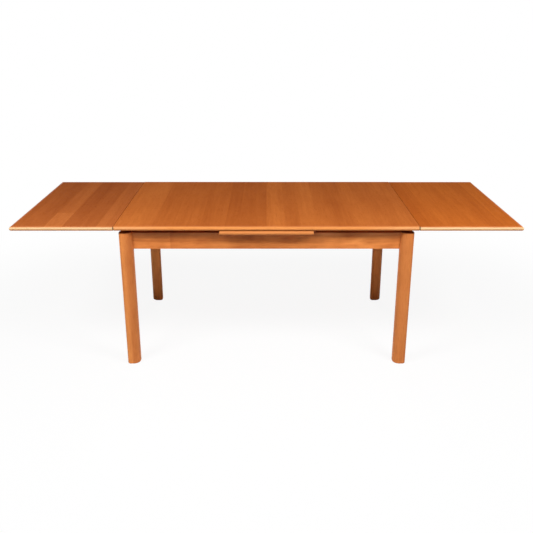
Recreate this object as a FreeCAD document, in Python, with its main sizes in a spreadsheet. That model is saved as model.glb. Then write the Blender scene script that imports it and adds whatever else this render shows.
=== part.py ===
import FreeCAD, Part
import Sketcher
import math
import os
import re

# Extending dining table of the draw-leaf kind, shown with both leaves drawn out.
# X runs along the table, the front is towards -Y, Z is up and the origin is on the floor
# under the middle of the table. Every length is in millimetres.

SIZES = {
    # boards
    "height": 720,
    "top_length": 1420,
    "board_width": 900,
    "top_thickness": 22,
    "centre_length": 440,
    "leaf_length": 480,
    "leaf_thickness": 21,
    "leaf_clearance": 0.5,
    "leaf_drop": 1,
    "seam_gap": 1.5,
    "stow_gap": 7,
    "lipping_width": 14,
    "end_lipping_width": 6,
    "arris_radius": 2.5,
    # legs
    "leg_size": 60,
    "leg_proud": 6,
    "relief_clearance": 1.5,
    "leg_end_inset": 18,
    "leg_side_inset": 15,
    "leg_corner_radius": 14,
    "leg_foot_radius": 5,
    # aprons and their tenons
    "apron_height": 80,
    "apron_thickness": 22,
    "apron_setback": 32,
    "apron_edge_radius": 2,
    "tenon_thickness": 10,
    "tenon_length": 20,
    "tenon_height": 26,
    "tenon_margin": 10,
    # bearer strips inside the side aprons, under the stowed leaves
    "bearer_width": 20,
    "bearer_height": 14,
    # cross rails under the centre board
    "rail_inset": 30,
    "rail_thickness": 22,
    "rail_height": 78,
    "rail_tenon_thickness": 12,
    "rail_tenon_length": 12,
    "rail_tenon_height": 40,
    # lopers, the long bars that carry the leaves
    "loper_width": 24,
    "loper_depth": 36,
    "loper_reach": 80,
    "loper_tip_inset": 15,
    "lane_inset": 71,
    "lane_pitch": 40,
    "lane_clearance": 0.5,
    "run_clearance": 0.2,
    "notch_clearance": 1,
    # stop blocks on the lopers
    "stop_length": 30,
    "stop_width": 16,
    "stop_height": 24,
    "stop_clearance": 4,
    "over_travel": 12,
    "end_clearance": 0.5,
    # corner blocks and their bolts
    "block_near": 16,
    "block_far": 60,
    "block_height": 50,
    "bolt_radius": 3,
    "bolt_embed": 40,
    "bolt_tail": 14,
    "bolt_washer_radius": 8,
    "bolt_washer_thickness": 1.5,
    "nut_circumradius": 5.8,
    "nut_thickness": 5,
    # guide pegs of the lifting top
    "peg_radius": 10,
    "peg_inset": 110,
    "peg_seat": 12,
    "peg_clearance": 0.3,
    "lift_travel": 35,
    "peg_washer_radius": 20,
    "peg_washer_thickness": 3,
    # wood screws
    "screw_radius": 2,
    "screw_head_radius": 4,
    "screw_head_height": 2.5,
    "screw_bore_radius": 4.5,
    "screw_grip": 10,
    "screw_bite": 12,
    "loper_screw_inset": 60,
    "centre_screw_inset": 48,
    "centre_screw_sink": 4,
    "stop_screw_sink": 4,
    "stop_screw_inset": 8,
    "overrun": 5,
}

# Places worked out from the driving sizes.
PLACES = {
    "top_underside": "height - top_thickness",
    "centre_thickness": "leaf_thickness + 2 * leaf_clearance",
    "frame_top": "top_underside - centre_thickness",
    "half_top": "top_length / 2",
    "half_width": "board_width / 2",
    "half_centre": "centre_length / 2",
    "panel_edge": "half_width - lipping_width",
    "panel_width": "2 * panel_edge",
    "leaf_inner": "half_top + seam_gap",
    "leaf_outer": "leaf_inner + leaf_length",
    "leaf_top": "height - leaf_drop",
    "leaf_underside": "leaf_top - leaf_thickness",
    "leaf_rise": "top_thickness + leaf_clearance - leaf_drop",
    "leaf_travel": "leaf_inner - half_centre - stow_gap",
    "slope": "leaf_rise / leaf_travel",
    "leg_height": "frame_top + leg_proud",
    "leg_outer_x": "half_top - leg_end_inset",
    "leg_inner_x": "leg_outer_x - leg_size",
    "leg_outer_y": "half_width - leg_side_inset",
    "leg_inner_y": "leg_outer_y - leg_size",
    "relief_depth": "leg_proud + relief_clearance",
    "relief_start": "leg_inner_x + leaf_travel - relief_depth / slope",
    "apron_outer_x": "leg_outer_x - apron_setback",
    "apron_inner_x": "apron_outer_x - apron_thickness",
    "apron_outer_y": "leg_outer_y - apron_setback",
    "apron_inner_y": "apron_outer_y - apron_thickness",
    "apron_bottom": "frame_top - apron_height",
    "side_apron_length": "2 * apron_inner_x",
    "end_apron_length": "2 * apron_inner_y",
    "tenon_inset": "(apron_thickness - tenon_thickness) / 2",
    "upper_tenon": "frame_top - tenon_margin - tenon_height",
    "lower_tenon": "apron_bottom + tenon_margin",
    "bolt_level": "apron_bottom + apron_height / 2",
    "left_lane": "apron_inner_y - bearer_width - lane_inset",
    "right_lane": "left_lane - lane_pitch",
    "peg_place": "right_lane - peg_inset",
    "lane_room": "loper_width / 2 + lane_clearance",
    "stop_room": "loper_width / 2 + stop_width + stop_clearance",
    "centre_screw_place": "right_lane - stop_room - centre_screw_inset",
    "rail_place": "half_centre - rail_inset",
    "rail_bottom": "frame_top - rail_height",
    "rail_inner": "rail_place - rail_thickness / 2",
    "rail_outer": "rail_place + rail_thickness / 2",
    "rail_notch_bottom": "frame_top - run_clearance - loper_depth - slope * (half_centre + rail_outer)"
                         " - notch_clearance",
    "loper_tail": "half_centre - loper_reach",
    "loper_tail_bottom": "frame_top - run_clearance - slope * loper_reach - loper_depth",
    "loper_length": "leaf_outer - loper_tip_inset - loper_tail",
    "loper_kink": "loper_reach + (leaf_underside - frame_top + run_clearance) / slope",
    "loper_flat": "leaf_underside - loper_tail_bottom",
    "loper_tip": "slope * loper_length",
    "stop_face": "apron_inner_x - over_travel - end_clearance",
    "stop_bottom": "loper_tail_bottom + slope * (stop_face - loper_tail)",
    "washer_top": "frame_top - lift_travel - end_clearance",
}

FRONT = FreeCAD.Vector(0, -1, 0)
BACK = FreeCAD.Vector(0, 1, 0)
RIGHT = FreeCAD.Vector(1, 0, 0)
UP = FreeCAD.Vector(0, 0, 1)
DOWN = FreeCAD.Vector(0, 0, -1)
OUTWARD = FreeCAD.Vector(1, -1, 0)
MITRE_TURN = 45
QUARTER_TURN = 90
HALF_TURN = 180

doc = FreeCAD.newDocument("ExtendingTable")
nodes = []


def fill_sheet(name, cells):
    sheet = doc.addObject("Spreadsheet::Sheet", name)
    for row, (alias, content) in enumerate(cells.items(), 1):
        sheet.set(f"A{row}", alias)
        sheet.set(f"B{row}", content)
        sheet.setAlias(f"B{row}", alias)
    return sheet


def bind(text):
    """Point each plain name in an expression at its cell."""
    def cell(match):
        word = match.group()
        if word in SIZES:
            return "Sizes." + word
        if word in PLACES:
            return "Places." + word
        return word
    return re.sub(r"[a-z_]+", cell, text)


sizes = fill_sheet("Sizes", {alias: str(number) for alias, number in SIZES.items()})
doc.recompute()
places = fill_sheet("Places", {alias: "=" + bind(text) for alias, text in PLACES.items()})
doc.recompute()


def number(alias):
    return sizes.get(alias) if alias in SIZES else places.get(alias)


def place(piece, corner):
    for axis, text in zip("xyz", corner):
        piece.setExpression("Placement.Base." + axis, bind(text))


def bound(kind, label, settings, corner):
    piece = doc.addObject(kind, label)
    for name, text in settings.items():
        piece.setExpression(name, bind(text))
    place(piece, corner)
    return piece


def box(label, size, corner):
    return bound("Part::Box", label, dict(zip(("Length", "Width", "Height"), size)), corner)


def cylinder(label, radius, length, corner, direction=UP):
    piece = bound("Part::Cylinder", label, {"Radius": radius, "Height": length}, corner)
    piece.Placement.Rotation = FreeCAD.Rotation(UP, direction)
    return piece


def fuse(label, pieces):
    piece = doc.addObject("Part::MultiFuse", label)
    piece.Shapes = pieces
    piece.Refine = True
    return piece


def cut(label, base, tools):
    piece = doc.addObject("Part::Cut", label)
    piece.Base = base
    piece.Tool = tools[0] if len(tools) == 1 else fuse(label + "_tools", tools)
    return piece


def mirror(label, source, normal):
    piece = doc.addObject("Part::Mirroring", label)
    piece.Source = source
    piece.Normal = normal
    return piece


def compound(label, pieces):
    piece = doc.addObject("Part::Compound", label)
    piece.Links = pieces
    return piece


def node(label, piece):
    piece.Label = label
    nodes.append(piece)
    return piece


def front_and_rear(label, piece):
    """Name a front piece as a node, and its mirror image at the rear as another."""
    node("front_" + label, piece)
    node("rear_" + label, mirror("rear_" + label, piece, BACK))


def four_corners(label, piece):
    """The front right piece, mirrored to the other three corners."""
    front_left = mirror(label + "_front_left", piece, RIGHT)
    rear_right = mirror(label + "_rear_right", piece, BACK)
    rear_left = mirror(label + "_rear_left", front_left, BACK)
    return {
        "front_right": piece,
        "front_left": front_left,
        "rear_right": rear_right,
        "rear_left": rear_left,
    }


def origin_plane(body, role):
    for feature in body.Origin.OriginFeatures:
        if feature.Role == role:
            return feature
    raise ValueError(role)


def padded_outline(label, role, corners, depth):
    """A body padded from a closed outline whose corners are named cells, or "0"."""
    body = doc.addObject("PartDesign::Body", label)
    sketch = body.newObject("Sketcher::SketchObject", label + "_outline")
    sketch.AttachmentSupport = [(origin_plane(body, role), "")]
    sketch.MapMode = "FlatFace"
    spots = [FreeCAD.Vector(*(0 if alias == "0" else number(alias) for alias in pair)) for pair in corners]
    count = len(corners)
    for index in range(count):
        sketch.addGeometry(Part.LineSegment(spots[index], spots[(index + 1) % count]))
    for index, pair in enumerate(corners):
        sketch.addConstraint(Sketcher.Constraint("Coincident", index, 2, (index + 1) % count, 1))
        for kind, alias, axis in zip(("DistanceX", "DistanceY"), pair, (-2, -1)):
            if alias == "0":
                sketch.addConstraint(Sketcher.Constraint("PointOnObject", index, 1, axis))
                continue
            distance = sketch.addConstraint(Sketcher.Constraint(kind, -1, 1, index, 1, number(alias)))
            sketch.setExpression(f"Constraints[{distance}]", bind(alias))
    pad = body.newObject("PartDesign::Pad", label + "_pad")
    pad.Profile = sketch
    pad.setExpression("Length", bind(depth))
    doc.recompute()
    return body


def round_edges(body, label, chosen, radius):
    """Round the edges of the body's tip that the test picks."""
    base = body.Tip
    names = [f"Edge{index}" for index, edge in enumerate(base.Shape.Edges, 1) if chosen(edge.BoundBox)]
    fillet = body.newObject("PartDesign::Fillet", label)
    fillet.Base = (base, names)
    fillet.setExpression("Radius", bind(radius))
    doc.recompute()


def half_round_outline(body, label, thickness):
    """A half circle open to the back, closed by a straight run to the bar's back."""
    sketch = body.newObject("Sketcher::SketchObject", label)
    sketch.AttachmentSupport = [(origin_plane(body, "YZ_Plane"), "")]
    sketch.MapMode = "FlatFace"
    nose = number(thickness) / 2
    back = number("lipping_width") - nose
    circle = Part.Circle(FreeCAD.Vector(0, 0, 0), UP, nose)
    sketch.addGeometry(Part.ArcOfCircle(circle, math.radians(QUARTER_TURN), math.radians(3 * QUARTER_TURN)))
    corners = ((0, -nose), (back, -nose), (back, nose), (0, nose))
    spots = [FreeCAD.Vector(across, up, 0) for across, up in corners]
    for start, end in zip(spots, spots[1:]):
        sketch.addGeometry(Part.LineSegment(start, end))
    sketch.addConstraint(Sketcher.Constraint("Coincident", 0, 3, -1, 1))
    for first, second in ((0, 1), (1, 2), (2, 3), (3, 0)):
        sketch.addConstraint(Sketcher.Constraint("Coincident", first, 2, second, 1))
    for end in (1, 2):
        sketch.addConstraint(Sketcher.Constraint("PointOnObject", 0, end, -2))
    for kind, line in (("Horizontal", 1), ("Vertical", 2), ("Horizontal", 3)):
        sketch.addConstraint(Sketcher.Constraint(kind, line))
    radius = sketch.addConstraint(Sketcher.Constraint("Radius", 0, nose))
    sketch.setExpression(f"Constraints[{radius}]", bind(f"{thickness} / 2"))
    depth = sketch.addConstraint(Sketcher.Constraint("DistanceX", -1, 1, 1, 2, back))
    sketch.setExpression(f"Constraints[{depth}]", bind(f"lipping_width - {thickness} / 2"))
    return sketch


def half_round_bar(label, thickness, length, corner):
    """A bar along X with a half round nose towards the front. The corner is its lowest left point."""
    start, front, bottom = corner
    nose = f"{thickness} / 2"
    body = doc.addObject("PartDesign::Body", label)
    pad = body.newObject("PartDesign::Pad", label + "_pad")
    pad.Profile = half_round_outline(body, label + "_outline", thickness)
    pad.setExpression("Length", bind(length))
    doc.recompute()
    place(body, (start, f"{front} + {nose}", f"{bottom} + {nose}"))
    return body


def ease_ends(bar, thickness, reach):
    """Ease the arrises of a half round bar's ends as far along it as the reach, but not those at its back."""
    slim = number("overrun")
    back = number("lipping_width") - number(thickness) / 2
    round_edges(
        bar,
        bar.Label + "_arris",
        lambda span: span.XLength < slim and span.XMax < reach and span.YMin < back / 2,
        "arris_radius",
    )
    return bar


def eased_strip(label, thickness, corner):
    """An end strip along Y, with the arrises on its left side eased."""
    strip = padded_outline(
        label,
        "XY_Plane",
        [
            ("0", "0"),
            ("end_lipping_width", "0"),
            ("end_lipping_width", "panel_width"),
            ("0", "panel_width"),
        ],
        thickness,
    )
    middle = number("end_lipping_width") / 2
    long_edge = number("panel_width") / 2
    round_edges(
        strip,
        label + "_arris",
        lambda span: span.YLength > long_edge and span.XMax < middle,
        "arris_radius",
    )
    place(strip, corner)
    return strip


def screw(label, grip, bite, seat, direction):
    """A round headed wood screw whose head sits on the seat and whose shank runs on from there."""
    head = cylinder(label + "_head", "screw_head_radius", "screw_head_height", seat, direction * -1)
    shank = cylinder(label + "_shank", "screw_radius", f"{grip} + {bite}", seat, direction)
    return fuse(label, [head, shank])


def shank_hole(label, grip, bite, seat, direction):
    return cylinder(label, "screw_radius", f"{grip} + {bite}", seat, direction)


# Loose top, which two pegs guide as it lifts.

def build_top():
    thickness = "top_thickness"
    panel = box(
        "top_panel_board",
        ("top_length - 2 * end_lipping_width", "panel_width", thickness),
        ("end_lipping_width - half_top", "-panel_edge", "top_underside"),
    )
    seats = [
        cylinder("peg_seat_hole", "peg_radius", "peg_seat", ("0", f"{way} * peg_place", "top_underside"))
        for way in (-1, 1)
    ]
    node("top_panel", cut("top_panel", panel, seats))
    bar = half_round_bar(
        "top_lipping", thickness, "top_length", ("-half_top", "-half_width", "top_underside")
    )
    front_and_rear("top_lipping", ease_ends(bar, thickness, 2 * number("top_length")))
    end = eased_strip("top_end_strip", thickness, ("-half_top", "-panel_edge", "top_underside"))
    node("left_top_lipping", end)
    node("right_top_lipping", mirror("right_top_lipping", end, RIGHT))
    build_pegs()


def build_pegs():
    place_y = "-peg_place"
    screw_seat = ("0", place_y, "washer_top - peg_washer_thickness")
    shank = ("peg_washer_thickness", "screw_bite")
    peg = cylinder(
        "peg_rod", "peg_radius", "top_underside + peg_seat - washer_top", ("0", place_y, "washer_top")
    )
    front_and_rear("guide_peg", cut("guide_peg", peg, [shank_hole("peg_hole", *shank, screw_seat, UP)]))
    disc = cylinder("peg_washer_disc", "peg_washer_radius", "peg_washer_thickness", screw_seat)
    washer = cut("peg_washer", disc, [shank_hole("washer_hole", *shank, screw_seat, UP)])
    fastener = screw("peg_screw", *shank, screw_seat, UP)
    for label, piece in (("peg_washers", washer), ("peg_screws", fastener)):
        node(label, compound(label, [piece, mirror(label + "_rear", piece, BACK)]))


# Fixed centre board, which lies on the aprons and cross rails between the stowed leaves.

def centre_screw_seats():
    return [
        (f"{side} * rail_place", f"{way} * centre_screw_place", "top_underside - centre_screw_sink")
        for side in (-1, 1)
        for way in (-1, 1)
    ]


def centre_screw_grip():
    return ("centre_thickness - centre_screw_sink", "screw_bite")


def build_centre_board():
    panel = box(
        "centre_panel_board",
        ("centre_length", "panel_width", "centre_thickness"),
        ("-half_centre", "-panel_edge", "frame_top"),
    )
    holes = [
        cylinder(
            "peg_passage", "peg_radius + peg_clearance", "centre_thickness + 2 * overrun",
            ("0", f"{way} * peg_place", "frame_top - overrun"),
        )
        for way in (-1, 1)
    ]
    screws = []
    for seat in centre_screw_seats():
        screws.append(screw("centre_screw", *centre_screw_grip(), seat, DOWN))
        holes.append(shank_hole("centre_screw_hole", *centre_screw_grip(), seat, DOWN))
        holes.append(cylinder("centre_screw_bore", "screw_bore_radius", "centre_screw_sink + overrun", seat))
    node("centre_panel", cut("centre_panel", panel, holes))
    node("centre_board_screws", compound("centre_board_screws", screws))
    thickness = "centre_thickness"
    bar = half_round_bar(
        "centre_lipping", thickness, "centre_length", ("-half_centre", "-half_width", "frame_top")
    )
    front_and_rear("centre_lipping", ease_ends(bar, thickness, 2 * number("centre_length")))


# Leaves. Each is worked out on the right, and the left one is then mirrored over.

def mitre_cutter(label, turn, start_x, start_y):
    """A block whose side lies on the mitre line through a front outer corner of the leaf."""
    reach = "2 * (lipping_width + overrun)"
    piece = box(
        label,
        (reach, f"{reach} + lipping_width", "leaf_thickness + 2 * overrun"),
        (start_x, start_y, "leaf_underside - overrun"),
    )
    piece.Placement.Rotation = FreeCAD.Rotation(UP, turn)
    return piece


def leaf_lippings(side):
    past_corner = ("leaf_outer + overrun", "-half_width - overrun")
    within_corner = ("leaf_outer - lipping_width - overrun", "overrun - panel_edge")
    front_bar = half_round_bar(
        side + "_leaf_side_bar",
        "leaf_thickness",
        "leaf_length",
        ("leaf_inner", "-half_width", "leaf_underside"),
    )
    ease_ends(front_bar, "leaf_thickness", number("leaf_length") / 2)
    side_mitre = mitre_cutter(side + "_side_mitre", MITRE_TURN, *past_corner)
    front = cut(side + "_leaf_side", front_bar, [side_mitre])
    outer_bar = half_round_bar(
        side + "_leaf_end_bar",
        "leaf_thickness",
        "board_width",
        ("-half_width", "-leaf_outer", "leaf_underside"),
    )
    turned = doc.addObject("Part::Compound", side + "_leaf_end_turned")
    turned.Links = [outer_bar]
    turned.Placement.Rotation = FreeCAD.Rotation(UP, QUARTER_TURN)
    mitre = mitre_cutter(side + "_end_mitre", MITRE_TURN + HALF_TURN, *within_corner)
    outer = cut(side + "_leaf_end", turned, [mitre, mirror(side + "_end_mitre_rear", mitre, BACK)])
    inner = eased_strip(
        side + "_leaf_inner", "leaf_thickness", ("leaf_inner", "-panel_edge", "leaf_underside")
    )
    return {
        "leaf_front_lipping": front,
        "leaf_rear_lipping": mirror(side + "_leaf_side_rear", front, BACK),
        "leaf_outer_lipping": outer,
        "leaf_inner_lipping": inner,
    }


def loper_screw_seats(lane):
    level = "leaf_underside - screw_grip"
    spots = (
        "leaf_inner + loper_screw_inset",
        "(leaf_inner + leaf_outer) / 2",
        "leaf_outer - loper_screw_inset",
    )
    return [(spot, lane, level) for spot in spots]


def build_loper(side, lane):
    label = side + "_loper"
    bar = padded_outline(
        label + "_bar",
        "XZ_Plane",
        [
            ("0", "0"),
            ("loper_length", "loper_tip"),
            ("loper_length", "loper_flat"),
            ("loper_kink", "loper_flat"),
            ("0", "loper_depth"),
        ],
        "loper_width",
    )
    place(bar, ("loper_tail", f"{lane} + loper_width / 2", "loper_tail_bottom"))
    screws = []
    holes = []
    for seat in loper_screw_seats(lane):
        screws.append(screw(label + "_screw", "screw_grip", "screw_bite", seat, UP))
        holes.append(shank_hole(label + "_screw_hole", "screw_grip", "screw_bite", seat, UP))
        holes.append(cylinder(label + "_screw_bore", "screw_bore_radius", "loper_depth", seat, DOWN))
    return bar, screws, holes


def build_stop(side, lane, outward):
    """A block on one side of the loper, with two screws through it into the loper."""
    label = side + "_stop"
    loper_face = f"{lane} + {outward} * loper_width / 2"
    far_face = f"{loper_face} + {outward} * stop_width"
    corner_y = loper_face if outward > 0 else far_face
    block = box(
        label + "_block",
        ("stop_length", "stop_width", "stop_height"),
        ("stop_face - stop_length", corner_y, "stop_bottom"),
    )
    inward = BACK * -outward
    grip = ("stop_width - stop_screw_sink", "screw_bite")
    screws = []
    holes = []
    for spot in ("stop_face - stop_screw_inset", "stop_face - stop_length + stop_screw_inset"):
        seat = (spot, f"{far_face} - {outward} * stop_screw_sink", "stop_bottom + stop_height / 2")
        screws.append(screw(label + "_screw", *grip, seat, inward))
        holes.append(shank_hole(label + "_screw_hole", *grip, seat, inward))
        bore_depth = "stop_screw_sink + overrun"
        holes.append(cylinder(label + "_screw_bore", "screw_bore_radius", bore_depth, seat, inward * -1))
    return block, screws, holes


def leg_relief(side):
    """The shallow rebate under an outer corner of the leaf, which lets it pass over the top of a leg."""
    inner_edge = "leg_inner_y - 2 * relief_clearance"
    return box(
        side + "_leg_relief",
        ("leaf_outer - relief_start", f"half_width - ({inner_edge})", "relief_depth + overrun"),
        ("relief_start", inner_edge, "leaf_underside - overrun"),
    )


def build_leaf(side, lane, outward):
    """The leaf with its lopers. The lane is their place from the middle, with stops on its outward side."""
    pieces = leaf_lippings(side)
    panel = box(
        side + "_leaf_board",
        ("leaf_length - end_lipping_width - lipping_width", "panel_width", "leaf_thickness"),
        ("leaf_inner + end_lipping_width", "-panel_edge", "leaf_underside"),
    )
    bar, loper_screws, loper_holes = build_loper(side, lane)
    block, stop_screws, stop_holes = build_stop(side, lane, outward)
    loper = cut(side + "_loper_rear", bar, loper_holes + stop_holes)
    stop = cut(side + "_stop_rear", block, stop_holes)
    rear_cuts = loper_holes + [leg_relief(side)]
    front_cuts = [mirror(side + "_front_cut", piece, BACK) for piece in rear_cuts]
    pieces["leaf_panel"] = cut(side + "_drilled_board", panel, rear_cuts + front_cuts)
    pieces["rear_loper"] = loper
    pieces["front_loper"] = mirror(side + "_loper_front", loper, BACK)
    pieces["rear_stop_block"] = stop
    pieces["front_stop_block"] = mirror(side + "_stop_front", stop, BACK)
    for label, screws in (("loper_screws", loper_screws), ("stop_screws", stop_screws)):
        others = [mirror(f"{side}_{label}_front", piece, BACK) for piece in screws]
        pieces[label] = compound(f"{side}_{label}_set", screws + others)
    for label, piece in pieces.items():
        if side == "left":
            piece = mirror("left_" + label, piece, RIGHT)
        node(f"{side}_{label}", piece)


# Legs, with housings and mortises for the aprons and a hole for the corner bolt. The two corners beside the
# aprons are rounded right up to them, the outer and inner corners less.

def skew(span):
    """How far an upright edge of the leg is from the diagonal through the corners beside the aprons."""
    return abs(span.XMin - span.YMin)


def build_legs():
    leg = padded_outline(
        "leg_post",
        "XY_Plane",
        [("0", "0"), ("leg_size", "0"), ("leg_size", "leg_size"), ("0", "leg_size")],
        "leg_height",
    )
    tall = number("leg_height") / 2
    near = number("leg_size") / 2
    for label, chosen, radius in (
        ("leg_corners", lambda span: span.ZLength > tall and skew(span) > near, "leg_corner_radius"),
        ("leg_sides", lambda span: span.ZLength > tall and skew(span) < near, "apron_setback"),
        ("leg_foot", lambda span: span.ZMax < tall, "leg_foot_radius"),
    ):
        round_edges(leg, label, chosen, radius)
    place(leg, ("leg_inner_x", "-leg_outer_y", "0"))
    housing = "apron_height + leg_proud + overrun"
    tools = [
        box(
            "front_housing",
            ("apron_inner_x - leg_inner_x + overrun", "apron_outer_y - leg_inner_y + overrun", housing),
            ("leg_inner_x - overrun", "-apron_outer_y", "apron_bottom"),
        ),
        box(
            "end_housing",
            ("apron_outer_x - leg_inner_x + overrun", "apron_inner_y - leg_inner_y + overrun", housing),
            ("leg_inner_x - overrun", "-apron_inner_y", "apron_bottom"),
        ),
        side_tenon("front_mortise"),
        end_tenon("end_mortise"),
        corner_rod("leg_bolt_hole", "bolt_radius", "bolt_embed", "-bolt_embed"),
    ]
    for corner, piece in four_corners("leg", cut("leg", leg, tools)).items():
        node("leg_" + corner, piece)


def side_tenon(label):
    return box(
        label,
        ("tenon_length", "tenon_thickness", "tenon_height"),
        ("apron_inner_x", "tenon_inset - apron_outer_y", "upper_tenon"),
    )


def end_tenon(label):
    return box(
        label,
        ("tenon_thickness", "tenon_length", "tenon_height"),
        ("apron_inner_x + tenon_inset", "-apron_inner_y - tenon_length", "lower_tenon"),
    )


def corner_rod(label, radius, length, along):
    """A rod on the diagonal of the front right corner, measured inwards from where the aprons meet."""
    side = f"({along} + {length}) * sqrt(1 / 2)"
    corner = (f"apron_inner_x - {side}", f"{side} - apron_inner_y", "bolt_level")
    return cylinder(label, radius, length, corner, OUTWARD)


# Aprons between the legs.

def apron_board(label, length):
    """A board along X, its lower edges rounded over."""
    board = padded_outline(
        label,
        "XY_Plane",
        [("0", "0"), (length, "0"), (length, "apron_thickness"), ("0", "apron_thickness")],
        "apron_height",
    )
    long_edge = number(length) / 2
    low = number("apron_height") / 2
    round_edges(
        board,
        label + "_edges",
        lambda span: span.XLength > long_edge and span.ZMax < low,
        "apron_edge_radius",
    )
    return board


def bolt_passage(label):
    return corner_rod(label, "bolt_radius", "bolt_embed + block_near", "-bolt_embed")


def build_side_aprons():
    board = apron_board("side_apron_board", "side_apron_length")
    place(board, ("-apron_inner_x", "-apron_outer_y", "apron_bottom"))
    tenon = side_tenon("side_apron_tenon")
    whole = fuse("side_apron_whole", [board, tenon, mirror("side_apron_tenon_left", tenon, RIGHT)])
    tools = [rail_tenon("rail_mortise"), bolt_passage("side_apron_bolt")]
    tools += [mirror("side_apron_tool_left", tool, RIGHT) for tool in tools]
    front_and_rear("apron", cut("side_apron", whole, tools))


def build_end_apron(side, lane):
    board = apron_board(side + "_apron_board", "end_apron_length")
    place(board, ("apron_outer_x", "-apron_inner_y", "apron_bottom"))
    board.Placement.Rotation = FreeCAD.Rotation(UP, QUARTER_TURN)
    tenon = end_tenon(side + "_apron_tenon")
    whole = fuse(side + "_apron_whole", [board, tenon, mirror(side + "_apron_tenon_rear", tenon, BACK)])
    level = "loper_tail_bottom + slope * (apron_inner_x - overrun - loper_tail) - run_clearance"
    notch = box(
        side + "_apron_notch",
        ("apron_thickness + 2 * overrun", "2 * lane_room", "apron_height"),
        ("apron_inner_x - overrun", f"{lane} - lane_room", level),
    )
    notch.Placement.Rotation = FreeCAD.Rotation(FRONT, 1)
    notch.setExpression("Placement.Rotation.Angle", bind("atan(slope)"))
    tools = [notch, bolt_passage(side + "_apron_bolt")]
    tools += [mirror(side + "_apron_tool_rear", tool, BACK) for tool in tools]
    apron = cut(side + "_apron", whole, tools)
    if side == "left":
        apron = mirror("left_end_apron", apron, RIGHT)
    node(side + "_end_apron", apron)


def build_bearers():
    strip = box(
        "leaf_bearer",
        ("apron_inner_x - rail_outer", "bearer_width", "bearer_height"),
        ("rail_outer", "-apron_inner_y", "frame_top - bearer_height"),
    )
    for corner, piece in four_corners("leaf_bearer", strip).items():
        node("leaf_bearer_" + corner, piece)


# Cross rails, notched for all four lopers.

def rail_tenon(label):
    return box(
        label,
        ("rail_tenon_thickness", "rail_tenon_length", "rail_tenon_height"),
        (
            "rail_place - rail_tenon_thickness / 2",
            "-apron_inner_y - rail_tenon_length",
            "rail_bottom + (rail_height - rail_tenon_height) / 2",
        ),
    )


def rail_notch(label, low, high):
    return box(
        label,
        ("rail_thickness + 2 * overrun", f"{high} - ({low})", "frame_top - rail_notch_bottom + overrun"),
        ("rail_inner - overrun", low, "rail_notch_bottom"),
    )


def build_cross_rails():
    board = box(
        "rail_board",
        ("rail_thickness", "2 * apron_inner_y", "rail_height"),
        ("rail_inner", "-apron_inner_y", "rail_bottom"),
    )
    front = rail_tenon("rail_tenon")
    whole = fuse("rail_whole", [board, front, mirror("rail_tenon_rear", front, BACK)])
    notches = [
        rail_notch("right_lane_notch", "right_lane - stop_room", "right_lane + lane_room"),
        rail_notch("left_lane_notch", "left_lane - lane_room", "left_lane + stop_room"),
    ]
    notches += [mirror("front_lane_notch", notch, BACK) for notch in notches]
    holes = [shank_hole("rail_screw_hole", *centre_screw_grip(), seat, DOWN) for seat in centre_screw_seats()]
    rail = cut("cross_rail", whole, notches + holes)
    node("right_cross_rail", rail)
    node("left_cross_rail", mirror("left_cross_rail", rail, RIGHT))


# Corner blocks, bolted to the legs.

def build_corner_blocks():
    prism = padded_outline(
        "corner_block_prism",
        "XY_Plane",
        [("block_near", "0"), ("block_far", "0"), ("0", "block_far"), ("0", "block_near")],
        "block_height",
    )
    place(prism, ("apron_inner_x", "-apron_inner_y", "bolt_level - block_height / 2"))
    prism.Placement.Rotation = FreeCAD.Rotation(UP, QUARTER_TURN)
    block_face = "block_far * sqrt(1 / 2)"
    passage = corner_rod("block_bolt_hole", "bolt_radius", f"{block_face} + overrun", "0")
    block = cut("corner_block", prism, [passage])
    for corner, piece in four_corners("corner_block", block).items():
        node("corner_block_" + corner, piece)
    bolt = corner_rod("bolt", "bolt_radius", f"bolt_embed + {block_face} + bolt_tail", "-bolt_embed")
    tail = corner_rod("bolt_tail_hole", "bolt_radius", f"{block_face} + bolt_tail + overrun", "0")
    disc = corner_rod("bolt_washer_disc", "bolt_washer_radius", "bolt_washer_thickness", block_face)
    washer = cut("bolt_washer", disc, [tail])
    nut_place = f"({block_face} + bolt_washer_thickness + nut_thickness) * sqrt(1 / 2)"
    hexagon = bound(
        "Part::Prism",
        "nut_hexagon",
        {"Circumradius": "nut_circumradius", "Height": "nut_thickness"},
        (f"apron_inner_x - {nut_place}", f"{nut_place} - apron_inner_y", "bolt_level"),
    )
    hexagon.Polygon = 6
    hexagon.Placement.Rotation = FreeCAD.Rotation(UP, OUTWARD)
    nut = cut("bolt_nut", hexagon, [tail])
    for label, piece in (("corner_bolts", bolt), ("corner_washers", washer), ("corner_nuts", nut)):
        node(label, compound(label, list(four_corners(label, piece).values())))


def check_pieces():
    for piece in doc.Objects:
        if "Invalid" in piece.State or "Error" in piece.State:
            raise RuntimeError(f"{piece.Label} did not recompute: {piece.State}")
    for piece in nodes:
        if piece.Shape.isNull() or not piece.Shape.isValid():
            raise RuntimeError(f"{piece.Label} has no valid shape")


build_top()
build_centre_board()
build_leaf("right", "right_lane", -1)
build_leaf("left", "left_lane", 1)
build_legs()
build_side_aprons()
build_end_apron("right", "right_lane")
build_end_apron("left", "left_lane")
build_bearers()
build_cross_rails()
build_corner_blocks()
doc.recompute()
check_pieces()
os.makedirs("parts", exist_ok=True)
for piece in nodes:
    piece.Shape.exportStep(f"parts/{piece.Label}.step")
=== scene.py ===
import math
from typing import NamedTuple

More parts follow.
